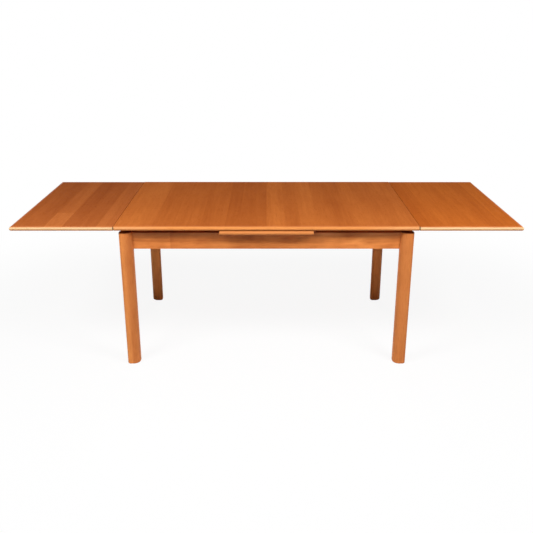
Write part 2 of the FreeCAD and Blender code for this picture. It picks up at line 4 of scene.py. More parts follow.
import bpy
import numpy as np
from bpy.props import FloatProperty, FloatVectorProperty, PointerProperty
from bpy.types import NodeSocket, NodeTree, Operator, Panel, PropertyGroup
from mathutils import Color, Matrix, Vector


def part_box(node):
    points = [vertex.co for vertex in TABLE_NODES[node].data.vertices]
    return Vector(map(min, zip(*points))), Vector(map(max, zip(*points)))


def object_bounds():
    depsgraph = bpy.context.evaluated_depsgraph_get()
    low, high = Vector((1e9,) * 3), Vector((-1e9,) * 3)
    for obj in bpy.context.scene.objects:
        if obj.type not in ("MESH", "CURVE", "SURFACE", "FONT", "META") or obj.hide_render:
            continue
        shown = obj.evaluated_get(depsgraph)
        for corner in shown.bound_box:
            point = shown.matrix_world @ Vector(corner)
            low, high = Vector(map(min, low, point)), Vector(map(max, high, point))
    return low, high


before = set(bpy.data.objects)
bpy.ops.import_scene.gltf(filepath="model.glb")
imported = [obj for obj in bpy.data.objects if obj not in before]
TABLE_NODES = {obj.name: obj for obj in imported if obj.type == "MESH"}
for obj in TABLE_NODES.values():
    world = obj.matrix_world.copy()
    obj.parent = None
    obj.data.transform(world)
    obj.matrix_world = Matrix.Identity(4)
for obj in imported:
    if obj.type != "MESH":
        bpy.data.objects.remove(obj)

bl_info = {
    "name": "Extending table",
    "version": (1, 0, 0),
    "blender": (4, 5, 0),
    "location": "3D View > Sidebar > Table",
    "description": "Lacquered wood finishes and a studio for an extending dining table",
    "category": "Object",
}

# X runs along the table, the front is towards -Y, Z is up. Every length is in metres.

CAD_BOX = [list(corner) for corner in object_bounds()]

QUARTER_TURN = math.pi / 2
# The wood group takes its grain along Y. These turns bring another grain direction there.
GRAIN_TURNS = {
    "X": (0, 0, QUARTER_TURN),
    "Y": (0, 0, 0),
    "Z": (QUARTER_TURN, 0, 0),
}

# Specular levels of the boards, which are almost matt, of their round edges, of other wood and of steel.
BOARD_SHINE = 0.002
NOSE_SHINE = 0.12
WOOD_SHINE = 0.15
STEEL_SHINE = 0.5


class Figure(NamedTuple):
    """One layer of a surface's figure, which is noise.

    The fineness is in cells to the metre along X, Y and Z. The layer is at its one end where the noise is at
    or under the low level, and at its other end where it is at or over the high level.
    """

    fineness: tuple
    detail: float
    low: float
    high: float


BROAD_FIGURE = Figure(fineness=(9, 0.8, 9), detail=2, low=0.3, high=0.7)
STREAK_FIGURE = Figure(fineness=(70, 1.8, 70), detail=5, low=0.2, high=0.8)
CLOUD_FIGURE = Figure(fineness=(22, 9, 22), detail=2, low=0.25, high=0.75)
PORE_FIGURE = Figure(fineness=(1100, 26, 1100), detail=1, low=0.58, high=0.74)
PLATING_FIGURE = Figure(fineness=(240, 240, 240), detail=3, low=0.3, high=0.7)

# How many radians the growth lines run through over the broad figure, and their depth beside the streaks'.
LINE_RADIANS = 75
LINE_SHARE = 0.25
# How far a seed of 1 moves the figure along X, Y and Z, in cells.
SEED_SPREAD = (61.7, 23.1, 47.3)
# Powers of the lightness in red, green and blue: pale wood is yellower.
CHANNEL_POWERS = (1, 1.5, 1.8)
# What pores add to the roughness, how high the streaks stand beside the pores' depth, and the bump of both.
PORE_ROUGHNESS = 0.15
STREAK_RELIEF_SHARE = 0.4
BUMP_STRENGTH = 0.2
BUMP_DEPTH = 0.0003

# Tone and roughness of the zinc plating, at the two ends of its figure.
PLATING_TONE_SHARES = (0.85, 1.05)
PLATING_ROUGHNESS = (0.28, 0.42)

# Seeds, which set the figures of the pieces apart.
TOP_LONG_SEED = 0.31
TOP_END_SEED = 0.47
LEAF_LONG_SEED = 0.13
LEAF_END_SEED = 0.71
LEAF_INNER_SEED = 0.83
SIDE_APRON_SEED = 0.23
END_APRON_SEED = 0.59
BEARER_SEED = 0.41
INNER_WOOD_SEED = 0.37
LEG_SEED_STEP = 0.17

# Tones of wood, from the darkest to the palest, as shares of a piece's own colour.
TONE_SHARES = {
    "deep": 0.80,
    "dark": 0.86,
    "plain": 0.92,
    "light": 1.00,
    "pale": 1.10,
    "palest": 1.25,
}
# A colour ramp holds nothing over 1, so tones go into it divided by this.
RAMP_SCALE = 2

# Staves of each board, from its left end to its right end: the share of the length where each stave starts,
# and its tone.
TOP_STAVE_SHARES = (
    (0.00, "pale"),
    (0.12, "plain"),
    (0.28, "plain"),
    (0.36, "dark"),
    (0.41, "dark"),
    (0.50, "pale"),
    (0.56, "plain"),
    (0.61, "pale"),
    (0.67, "plain"),
    (0.78, "light"),
    (0.83, "light"),
    (0.91, "light"),
)
LEFT_LEAF_STAVE_SHARES = (
    (0.00, "plain"),
    (0.16, "plain"),
    (0.32, "light"),
    (0.50, "dark"),
    (0.68, "dark"),
    (0.84, "light"),
)
RIGHT_LEAF_STAVE_SHARES = (
    (0.00, "plain"),
    (0.17, "light"),
    (0.34, "light"),
    (0.51, "light"),
    (0.69, "plain"),
    (0.84, "light"),
)

# The front of the left leaf's third stave is a piece of its own: the stave, counted from 0, the share of the
# depth where the piece ends, and its tone. The step sets the seed of its figure apart from the stave's.
LEFT_LEAF_FRONT_PIECE_SHARES = (2, 0.255, "palest")
FRONT_PIECE_SEED_STEP = 0.43

# Shares of the depth, from the front, between which the painted light along the boards' fronts runs out.
FRONT_LIGHT_REACH_SHARES = (0.07, 0.47)

# How far a stave's tone drifts towards its neighbours' tones. The left leaf's staves are more distinct.
DRIFT_SHARE = 0.45
LEFT_LEAF_DRIFT_SHARE = 0.2

# Heights on a half round edge, from below, as shares of the board's thickness: between which its underside
# runs into plain wood, plain wood into the pale crown, which is painted as a highlight, and the crown into
# plain wood again.
UNDERSIDE_SHARES = (0.06, 0.30)
CROWN_START_SHARES = (0.30, 0.50)
CROWN_END_SHARES = (0.72, 0.92)

# Tones along the front and rear apron and across the legs, from the left to the right: a share of the width,
# and the tone there. The apron's second piece starts at the sharp step. The rear legs' pale tones are
# painted light, standing in for the light that the top keeps off them, and the front left leg's pale outer
# part is partly a painted highlight on its rounded corner.
APRON_TONE_SHARES = (
    (0.000, "pale"),
    (0.152, "light"),
    (0.156, "deep"),
    (0.230, "light"),
    (0.400, "plain"),
    (0.560, "light"),
    (0.720, "palest"),
    (1.000, "palest"),
)
LEG_TONE_AND_LIGHT_SHARES = {
    "front_left": ((0.00, "pale"), (0.36, "pale"), (0.56, "plain"), (1.00, "plain")),
    "front_right": ((0.00, "light"), (1.00, "light")),
    "rear_left": ((0.00, "palest"), (1.00, "palest")),
    "rear_right": ((0.00, "pale"), (1.00, "pale")),
}


def colour(name, description, value):
    return FloatVectorProperty(
        name=name, description=description, default=value, size=3, subtype="COLOR", min=0, max=1
    )


def length(name, description, value):
    return FloatProperty(
        name=name, description=description, default=value, subtype="DISTANCE", unit="LENGTH"
    )


def power(name, description, value):
    return FloatProperty(
        name=name, description=description, default=value, subtype="POWER", unit="POWER"
    )


def share(name, description, value):
    return FloatProperty(
        name=name, description=description, default=value, subtype="FACTOR", min=0, max=1
    )


class TableFinish(PropertyGroup):
    """Woods, lacquer and metal of the table."""

    top_wood: colour("Top wood", "Middle tone of the top's staves", (0.468, 0.122, 0.0230))
    left_leaf_wood: colour("Left leaf wood", "Middle tone of that leaf's staves", (0.430, 0.114, 0.0260))
    right_leaf_wood: colour("Right leaf wood", "Middle tone of that leaf's staves", (0.52, 0.13, 0.0192))
    lipping_wood: colour("Lipping wood", "Half round edges of the boards", (0.57, 0.200, 0.050))
    # Painted shade: the lower side of the top's and the centre board's round edges is darkened for the shade
    # under them.
    top_underside_shade: colour("Top underside shade", "Lower side of the top's round edges", (0.33, 0.092, 0.018))
    leaf_underside: colour("Leaf underside", "Lower side of the leaves' round edges", (0.66, 0.25, 0.06))
    # The crowns below are paler wood along the half round edges, painted brighter as the lamps' highlight.
    top_crown_and_highlight: colour("Top crown and highlight", "Crown of the top's half round edge", (0.73, 0.265, 0.068))
    strip_crown_and_highlight: colour("Strip crown and highlight", "Crown of the centre board's half round edge", (0.65, 0.232, 0.066))
    leaf_crown_and_highlight: colour("Leaf crown and highlight", "Crown of the leaves' front edges", (0.78, 0.54, 0.29))
    leaf_end_lipping: colour("Leaf end lipping", "Crown of the leaves' other edges", (0.74, 0.34, 0.11))
    leg_wood: colour("Leg wood", "Solid wood of the legs", (0.625, 0.208, 0.052))
    # Partly painted shade: the legs' end grain is darker, and it is darkened further for the shade in the
    # gap under the boards, also a little way down the legs' sides.
    end_grain_and_shade: colour("End grain and shade", "Dark end grain on the legs' tops", (0.20, 0.060, 0.015))
    apron_wood: colour("Apron wood", "Veneered wood of the aprons", (0.59, 0.177, 0.040))
    # Painted shade: the aprons darken towards their tops, for the shade under the boards.
    apron_top_shade: colour("Apron top shade", "Upper edges of the aprons, in shade", (0.46, 0.158, 0.052))
    # Painted shade: the bearers, seen in the slot under the boards, are darkened for the shade there.
    bearer_shade_wood: colour("Bearer shade wood", "Dull strips along the tops of the aprons", (0.34, 0.10, 0.022))
    # Painted shade: the two colours below darken the edges in and beside the seams, for the shade in the
    # gaps.
    seam_shade_wood: colour("Seam shade wood", "Dull edges between the top and the leaves", (0.33, 0.091, 0.019))
    seam_end_shade: colour("Seam end shade", "Darkened ends of the boards' long edges", (0.07, 0.034, 0.009))
    inner_wood: colour("Inner wood", "Unstained wood under the boards", (0.58, 0.32, 0.13))
    steel: colour("Steel", "Zinc plated screws, bolts, washers and nuts", (0.62, 0.63, 0.64))
    seam_shade_reach: length("Seam shade reach", "How far the long edges are darkened from their ends", 0.003)
    leg_top_shade_reach: length("Leg top shade reach", "How far down the legs their end grain shows", 0.003)
    # How far down that painted shade runs.
    apron_top_shade_reach: length("Apron top shade reach", "How far down the aprons their unfaded wood runs out", 0.032)
    # Painted highlight: the top's long edges turn paler towards the seams, over this reach.
    seam_highlight_reach: length("Seam highlight reach", "How far the long edges are worn paler from their ends", 0.27)
    veneer_depth: length("Veneer depth", "How far the staves' veneer reaches down the boards' edges", 0.0012)
    # Painted highlight: how far the ends of the long edges turn to the leaves' crown.
    seam_highlight: share("Seam highlight", "How far the ends of the long edges are worn to the leaves' pale crown", 0.3)
    # Painted light: the boards are made paler along their fronts, where the lamps light them more.
    top_front_light: share("Top front light", "How much paler the top is along its front", 0.08)
    left_leaf_front_light: share("Left leaf front light", "How much paler the left leaf is along its front", 0.1)
    right_leaf_front_light: share("Right leaf front light", "How much paler the right leaf is along its front", 0.02)
    lacquer_roughness: share("Lacquer roughness", "Roughness of the satin lacquer", 0.5)
    pore_depth: share("Pore depth", "How far the pores darken the wood", 0.22)
    streak_depth: share("Streak depth", "How far the streaks lighten and darken the wood", 0.065)
    apron_streak_depth: share("Apron streak depth", "How far the streaks show on the aprons", 0.16)
    stave_mottle: share("Stave mottle", "How far clouds lighten and darken the staves", 0.03)
    leg_mottle: share("Leg mottle", "How far clouds lighten and darken the legs", 0.06)
    side_apron_mottle: share("Side apron mottle", "How far clouds show on the front and rear aprons", 0.18)
    end_apron_mottle: share("End apron mottle", "How far clouds show on the end aprons", 0.16)


class TableStudio(PropertyGroup):
    """Camera, lamps and floor."""

    camera_distance: length("Camera distance", "From the middle of the table to the camera, along Y", 3.5424)
    camera_height: length("Camera height", "Height of the camera over the floor", 1.665)
    camera_tilt: FloatProperty(
        name="Camera tilt", description="How far the camera looks down", default=math.radians(20.25),
        subtype="ANGLE", unit="ROTATION",
    )
    camera_lens: FloatProperty(
        name="Camera lens", description="Focal length", default=47.21,
        subtype="DISTANCE_CAMERA", unit="CAMERA",
    )
    lamp_side: length("Lamp side", "Place of the two soft lamps to the left and right", 1.6)
    lamp_front: length("Lamp front", "Place of the soft lamps in front of the table's middle", 1.82)
    lamp_height: length("Lamp height", "Height of the soft lamps", 2.6)
    lamp_size: length("Lamp size", "Side of each lamp", 1.0)
    lamp_power: power("Lamp power", "Power of each soft lamp", 69)
    back_lamp_distance: length("Back lamp distance", "Place of the low lamp behind the table's middle", 3.4)
    back_lamp_height: length("Back lamp height", "Height of the low lamp behind the table", 0.8)
    back_lamp_power: power("Back lamp power", "Power of the low lamp behind the table", 40)
    fill_light: share("Fill light", "Even light from all round", 0.02)
    floor_size: length("Floor size", "Side of the floor", 60)
    floor_tone: share("Floor tone", "Grey tone of the floor", 0.9)
    shadow_share: share("Shadow share", "How much of the table's shadow shows on the floor", 0.09)
    shadow_reach: length("Shadow reach", "How far from the middle of the table its shadow fades out", 2.6)


class Grain(NamedTuple):
    """How a piece's grain lies: its axis, the seed of its figure, and how deep its clouds and streaks are.

    Without streaks of its own it has the depth that the finish gives.
    """

    axis: str
    seed: float | NodeSocket = 0
    mottle: float = 0
    streaks: float | None = None


class Board(NamedTuple):
    """A staved board: its wood, the corners of its panel's box and the node group of its staves' tones."""

    wood: Color
    low: Vector
    high: Vector
    stave_group: NodeTree


# Node trees

def add(tree, kind, **settings):
    node = tree.nodes.new(kind)
    for name, value in settings.items():
        setattr(node, name, value)
    return node


def feed(tree, socket, value):
    """Link an output socket to the input socket, or set it to a plain value. A colour is given as RGB."""
    if isinstance(value, NodeSocket):
        tree.links.new(value, socket)
    elif socket.type == "RGBA":
        socket.default_value = (*value, 1)
    else:
        socket.default_value = value


def calculate(tree, operation, *values):
    node = add(tree, "ShaderNodeMath", operation=operation)
    for socket, value in zip(node.inputs, values):
        feed(tree, socket, value)
    return node.outputs[0]


def between(tree, value, low, high, new_low, new_high):
    """A number that runs from new_low to new_high as the value runs from low to high, and no further."""
    node = add(tree, "ShaderNodeMapRange")
    for socket, number in zip(node.inputs, (value, low, high, new_low, new_high)):
        feed(tree, socket, number)
    return node.outputs[0]


def mixed(tree, kind, share_of_second, first, second):
    """A number or a colour between two others. The kind is FLOAT or RGBA."""
    node = add(tree, "ShaderNodeMix", data_type=kind)
    feed(tree, node.inputs["Factor"], share_of_second)
    ends = [socket for socket in node.inputs if socket.enabled and socket.name in ("A", "B")]
    for socket, value in zip(ends, (first, second)):
        feed(tree, socket, value)
    return next(socket for socket in node.outputs if socket.enabled)


def split(tree, vector):
    """The X, Y and Z of a vector."""
    axes = add(tree, "ShaderNodeSeparateXYZ")
    feed(tree, axes.inputs[0], vector)
    return axes.outputs


def joined(tree, numbers):
    """The vector of three numbers."""
    vector = add(tree, "ShaderNodeCombineXYZ")
    for socket, number in zip(vector.inputs, numbers):
        feed(tree, socket, number)
    return vector.outputs[0]


def figure_noise(tree, vector, figure, offset=(0, 0, 0)):
    """Noise of a figure: the vector times the fineness, moved by the offset."""
    moved = add(tree, "ShaderNodeVectorMath", operation="MULTIPLY_ADD")
    for socket, value in zip(moved.inputs, (vector, figure.fineness, offset)):
        feed(tree, socket, value)
    noise = add(tree, "ShaderNodeTexNoise")
    noise.inputs["Scale"].default_value = 1
    noise.inputs["Detail"].default_value = figure.detail
    feed(tree, noise.inputs["Vector"], moved.outputs[0])
    return noise.outputs[0]


def swing(tree, noise, figure, start=-1, end=1):
    """A number that runs from start to end between the figure's two levels."""
    return between(tree, noise, figure.low, figure.high, start, end)


def tone_ramp(tree, place, rows, interpolation="LINEAR"):
    """Tones along a line from 0 to 1. Each row is a place on it and the name of the tone there.

    The ramp's colour is the tone divided by RAMP_SCALE, and its alpha is a seed that tells the rows apart.
    """
    ramp = add(tree, "ShaderNodeValToRGB")
    ramp.color_ramp.interpolation = interpolation
    steps = ramp.color_ramp.elements
    while len(steps) < len(rows):
        steps.new(1)
    for step, (start, tone), seed in zip(steps, rows, np.linspace(0, 1, len(rows))):
        grey = TONE_SHARES[tone] / RAMP_SCALE
        step.position = start
        step.color = (grey, grey, grey, seed)
    feed(tree, ramp.inputs[0], place)
    return ramp.outputs


def near_places(tree, along, places, reach):
    """1 at the given places along an axis and 0 from the reach on."""
    distance = reach
    for place in places:
        gap = calculate(tree, "ABSOLUTE", calculate(tree, "SUBTRACT", along, place))
        distance = calculate(tree, "MINIMUM", distance, gap)
    return between(tree, distance, 0, reach, 1, 0)


def seen_directly(tree):
    """1 for a ray from the camera, or one that mirrors or glass send on, and 0 for the light that fills."""
    path = add(tree, "ShaderNodeLightPath").outputs
    mirrored = calculate(tree, "MAXIMUM", path["Is Glossy Ray"], path["Is Transmission Ray"])
    return calculate(tree, "MAXIMUM", path["Is Camera Ray"], mirrored)


# Node groups

def new_group(name, inputs, outputs):
    """An empty node group, its given values and its results. Sockets are kinds by name."""
    group = bpy.data.node_groups.new(name, "ShaderNodeTree")
    for direction, sockets in (("INPUT", inputs), ("OUTPUT", outputs)):
        for socket, kind in sockets.items():
            group.interface.new_socket(name=socket, in_out=direction, socket_type="NodeSocket" + kind)
    given = add(group, "NodeGroupInput").outputs
    result = add(group, "NodeGroupOutput").inputs
    return group, given, result


def place_group(tree, group, values):
    """The outputs of a node group that is placed in a tree, with its inputs linked or set by name."""
    node = add(tree, "ShaderNodeGroup", node_tree=group)
    for socket, value in values.items():
        feed(tree, node.inputs[socket], value)
    return node.outputs


def wood_group():
    """Lacquered wood with its grain along Y.

    Lightness: tone x (1 + streaks + figure + mottle) x (1 - pores), where streaks and pores are noise drawn
    out along the grain, the figure is the broadest noise and a sine of it, and the mottle is cloudy.
    Colour: the wood's red, green and blue times the lightness to rising powers, so pale wood is yellower.
    """
    inputs = {
        "Vector": "Vector",
        "Wood": "Color",
        "Tone": "Float",
        "Seed": "Float",
        "Streak depth": "Float",
        "Mottle depth": "Float",
        "Pore depth": "Float",
        "Roughness": "Float",
    }
    outputs = {"Color": "Color", "Roughness": "Float", "Height": "Float"}
    group, given, result = new_group("Lacquered wood", inputs, outputs)

    offset = joined(group, [calculate(group, "MULTIPLY", given["Seed"], spread) for spread in SEED_SPREAD])
    broad = figure_noise(group, given["Vector"], BROAD_FIGURE, offset)
    streaks = figure_noise(group, given["Vector"], STREAK_FIGURE, offset)
    clouds = figure_noise(group, given["Vector"], CLOUD_FIGURE, offset)
    pores = figure_noise(group, given["Vector"], PORE_FIGURE, offset)

    lines = calculate(group, "SINE", calculate(group, "MULTIPLY", broad, LINE_RADIANS))
    bands = calculate(
        group, "ADD", swing(group, streaks, STREAK_FIGURE), swing(group, broad, BROAD_FIGURE)
    )
    figure = calculate(group, "MULTIPLY_ADD", lines, LINE_SHARE, bands)
    streaked = calculate(group, "MULTIPLY_ADD", figure, given["Streak depth"], 1)
    mottle = swing(group, clouds, CLOUD_FIGURE)
    mottled = calculate(group, "MULTIPLY_ADD", mottle, given["Mottle depth"], streaked)
    pore_mask = swing(group, pores, PORE_FIGURE, 0, 1)
    unpored = calculate(group, "SUBTRACT", 1, calculate(group, "MULTIPLY", pore_mask, given["Pore depth"]))
    lightness = calculate(group, "MULTIPLY", calculate(group, "MULTIPLY", mottled, unpored), given["Tone"])

    coloured = add(group, "ShaderNodeVectorMath", operation="MULTIPLY")
    channels = [calculate(group, "POWER", lightness, channel_power) for channel_power in CHANNEL_POWERS]
    feed(group, coloured.inputs[0], given["Wood"])
    feed(group, coloured.inputs[1], joined(group, channels))
    raised = calculate(group, "MULTIPLY", streaks, STREAK_RELIEF_SHARE)
    roughness = calculate(group, "MULTIPLY_ADD", pore_mask, PORE_ROUGHNESS, given["Roughness"])
    feed(group, result["Color"], coloured.outputs[0])
    feed(group, result["Roughness"], roughness)
    feed(group, result["Height"], calculate(group, "SUBTRACT", raised, pore_mask))


def round_edge_group():
    """A half round edge from below: its underside, plain wood, its pale worn crown and plain wood again.

    The crown is paler wood painted brighter as a highlight, and on the top's edges the underside is painted
    shade. The height runs from 0 at the bottom of the board to 1 at its top.
    """
    inputs = {"Height": "Float", "Underside": "Color", "Wood": "Color", "Crown and highlight": "Color"}
    group, given, result = new_group("Round edge with painted light", inputs, {"Color": "Color"})
    height = given["Height"]
    above = between(group, height, *UNDERSIDE_SHARES, 0, 1)
    crown_start = between(group, height, *CROWN_START_SHARES, 0, 1)
    crown_end = between(group, height, *CROWN_END_SHARES, 1, 0)
    crown = calculate(group, "MINIMUM", crown_start, crown_end)
    plain = mixed(group, "RGBA", above, given["Underside"], given["Wood"])
    feed(group, result["Color"], mixed(group, "RGBA", crown, plain, given["Crown and highlight"]))


def stave_group(name, low, high, staves, front_light, drift_share, front_piece):
    """Tone and seed of the stave under a point, from its shares of the board's length and depth.

    Tone: the stave's own tone, mixed by the drift share with one that runs evenly from the middle of each
    stave to the middle of the next, and made paler towards the front by painted light. A front piece, if
    given, has the one tone all over.
    """
    group, given, result = new_group(name, {"Vector": "Vector"}, {"Tone": "Float", "Seed": "Float"})
    axes = split(group, given["Vector"])
    along = between(group, axes["X"], low.x, high.x, 0, 1)
    depth = between(group, axes["Y"], low.y, high.y, 0, 1)
    ends = [*(start for start, tone in staves[1:]), 1]
    middles = [((start + end) / 2, tone) for (start, tone), end in zip(staves, ends)]
    own = tone_ramp(group, along, staves, "CONSTANT")
    drifting = tone_ramp(group, along, middles)
    ramp_tone = mixed(group, "FLOAT", drift_share, own["Color"], drifting["Color"])
    # Painted light towards the front.
    front_lit = between(group, depth, *FRONT_LIGHT_REACH_SHARES, RAMP_SCALE * (1 + front_light), RAMP_SCALE)
    tone = calculate(group, "MULTIPLY", ramp_tone, front_lit)
    seed = own["Alpha"]
    if front_piece:
        stave, joint, piece_tone = front_piece
        past_start = calculate(group, "GREATER_THAN", along, staves[stave][0])
        before_end = calculate(group, "LESS_THAN", along, ends[stave])
        in_front = calculate(group, "LESS_THAN", depth, joint)
        on_stave = calculate(group, "MULTIPLY", past_start, before_end)
        on_piece = calculate(group, "MULTIPLY", on_stave, in_front)
        tone = mixed(group, "FLOAT", on_piece, tone, TONE_SHARES[piece_tone])
        seed = calculate(group, "MULTIPLY_ADD", on_piece, FRONT_PIECE_SEED_STEP, seed)
    feed(group, result["Tone"], tone)
    feed(group, result["Seed"], seed)
    return group


def staved_board(title, wood, panel, staves, front_light, drift_share=DRIFT_SHARE, front_piece=None):
    """A board and its staves. A front piece, if given, is what LEFT_LEAF_FRONT_PIECE_SHARES holds."""
    low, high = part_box(panel)
    tones = stave_group(f"{title} tones", low, high, staves, front_light, drift_share, front_piece)
    return Board(wood, low, high, tones)


# Materials

def new_material(name, shine):
    """A material, its node tree, its shader and the place of the point that is shaded."""
    material = bpy.data.materials.new(name)
    material.use_nodes = True
    tree = material.node_tree
    shader = tree.nodes["Principled BSDF"]
    shader.inputs["Specular IOR Level"].default_value = shine
    place = add(tree, "ShaderNodeTexCoord").outputs["Object"]
    return material, tree, shader, place


def placed_wood(tree, place, wood, grain, tone=1):
    """Colour, roughness and relief of a wood on its grain."""
    finish = bpy.context.scene.table_finish
    turned = add(tree, "ShaderNodeMapping")
    turned.inputs["Rotation"].default_value = GRAIN_TURNS[grain.axis]
    feed(tree, turned.inputs["Vector"], place)
    values = {
        "Vector": turned.outputs[0],
        "Wood": wood,
        "Tone": tone,
        "Seed": grain.seed,
        "Streak depth": finish.streak_depth if grain.streaks is None else grain.streaks,
        "Mottle depth": grain.mottle,
        "Pore depth": finish.pore_depth,
        "Roughness": finish.lacquer_roughness,
    }
    return place_group(tree, bpy.data.node_groups["Lacquered wood"], values)


def placed_veneer(tree, place, board, mottle=0):
    """Colour, roughness and relief of a board's staves, which have their grain along Y."""
    staves = place_group(tree, board.stave_group, {"Vector": place})
    return placed_wood(tree, place, board.wood, Grain("Y", staves["Seed"], mottle), staves["Tone"])


def placed_round_edge(tree, height, underside, crown_and_highlight):
    """Colour of a half round edge at a height from 0 to 1."""
    values = {
        "Height": height,
        "Underside": underside,
        "Wood": bpy.context.scene.table_finish.lipping_wood,
        "Crown and highlight": crown_and_highlight,
    }
    return place_group(tree, bpy.data.node_groups["Round edge with painted light"], values)["Color"]


def lay_wood(tree, shader, wood_colour, wood):
    """Feed the shader with a colour, and with a wood's roughness and its relief as bump."""
    bump = add(tree, "ShaderNodeBump")
    bump.inputs["Strength"].default_value = BUMP_STRENGTH
    bump.inputs["Distance"].default_value = BUMP_DEPTH
    feed(tree, bump.inputs["Height"], wood["Height"])
    feed(tree, shader.inputs["Base Color"], wood_colour)
    feed(tree, shader.inputs["Roughness"], wood["Roughness"])
    feed(tree, shader.inputs["Normal"], bump.outputs[0])


def wood_material(name, wood, grain, tones=None, upper_end=None):
    """Lacquered wood.

    Tones, where given, are rows of tones and the places along X of the first and the last one. An upper end,
    where given, is the height of the piece's darker upper end, how far down it reaches and its colour. That
    darker end is painted shade under the boards, and on the legs also their darker end grain.
    """
    material, tree, shader, place = new_material(name, WOOD_SHINE)
    tone = 1
    if tones:
        rows, left, right = tones
        ramp = tone_ramp(tree, between(tree, split(tree, place)["X"], left, right, 0, 1), rows)
        tone = calculate(tree, "MULTIPLY", ramp["Color"], RAMP_SCALE)
    if upper_end:
        height, reach, end_wood = upper_end
        at_end = near_places(tree, split(tree, place)["Z"], (height,), reach)
        wood = mixed(tree, "RGBA", at_end, wood, end_wood)
    solid = placed_wood(tree, place, wood, grain, tone)
    lay_wood(tree, shader, solid["Color"], solid)
    return material


def stave_material(name, board):
    """The staves of a board's panel."""
    material, tree, shader, place = new_material(name, BOARD_SHINE)
    veneer = placed_veneer(tree, place, board, bpy.context.scene.table_finish.stave_mottle)
    lay_wood(tree, shader, veneer["Color"], veneer)
    return material


def lay_lipping(tree, shader, place, board, edge_wood, grain):
    """Feed the shader with a board's solid edge, with the staves' veneer over its top."""
    edge = placed_wood(tree, place, edge_wood, grain)
    veneer = placed_veneer(tree, place, board)
    veneer_start = board.high.z - bpy.context.scene.table_finish.veneer_depth
    on_top = calculate(tree, "GREATER_THAN", split(tree, place)["Z"], veneer_start)
    lay_wood(tree, shader, mixed(tree, "RGBA", on_top, edge["Color"], veneer["Color"]), edge)


def round_lipping_material(name, board, grain, underside, crown_and_highlight, seams=()):
    """A board's half round edge with a worn crown.

    The crown is painted brighter as a highlight. Towards the seams, which are places along X, the edge is
    painted paler as a highlight, and at them it is dark with painted shade.
    """
    finish = bpy.context.scene.table_finish
    material, tree, shader, place = new_material(name, NOSE_SHINE)
    axes = split(tree, place)
    height = between(tree, axes["Z"], board.low.z, board.high.z, 0, 1)
    edge_wood = placed_round_edge(tree, height, underside, crown_and_highlight)
    if seams:
        # Painted highlight: towards the seams the edge turns to the leaves' pale crown.
        highlit_edge = placed_round_edge(tree, height, finish.leaf_underside, finish.leaf_crown_and_highlight)
        near_seam = near_places(tree, axes["X"], seams, finish.seam_highlight_reach)
        seam_highlight_share = calculate(tree, "MULTIPLY", near_seam, finish.seam_highlight)
        edge_wood = mixed(tree, "RGBA", seam_highlight_share, edge_wood, highlit_edge)
        # Painted shade at the seams.
        at_seam = near_places(tree, axes["X"], seams, finish.seam_shade_reach)
        edge_wood = mixed(tree, "RGBA", at_seam, edge_wood, finish.seam_end_shade)
    lay_lipping(tree, shader, place, board, edge_wood, grain)
    return material


def seam_lipping_material(name, board, grain):
    """A board's edge along a seam, dull throughout."""
    material, tree, shader, place = new_material(name, BOARD_SHINE)
    # The whole edge is painted dark, for the shade in the seam.
    lay_lipping(tree, shader, place, board, bpy.context.scene.table_finish.seam_shade_wood, grain)
    return material


def steel_material(name, steel):
    """Zinc plated steel: cloudy plating, with the roughness following the clouds."""
    material, tree, shader, place = new_material(name, STEEL_SHINE)
    clouds = figure_noise(tree, place, PLATING_FIGURE)
    tone = add(tree, "ShaderNodeVectorMath", operation="SCALE")
    tone.inputs[0].default_value = steel
    feed(tree, tone.inputs["Scale"], swing(tree, clouds, PLATING_FIGURE, *PLATING_TONE_SHARES))
    feed(tree, shader.inputs["Base Color"], tone.outputs[0])
    feed(tree, shader.inputs["Roughness"], swing(tree, clouds, PLATING_FIGURE, *PLATING_ROUGHNESS))
    shader.inputs["Metallic"].default_value = 1
    return material


def dress(names, material):
    """Give a material to the table's pieces of these names."""
    for name in names:
        for slot in TABLE_NODES[name].material_slots:
            slot.material = material


# Operators

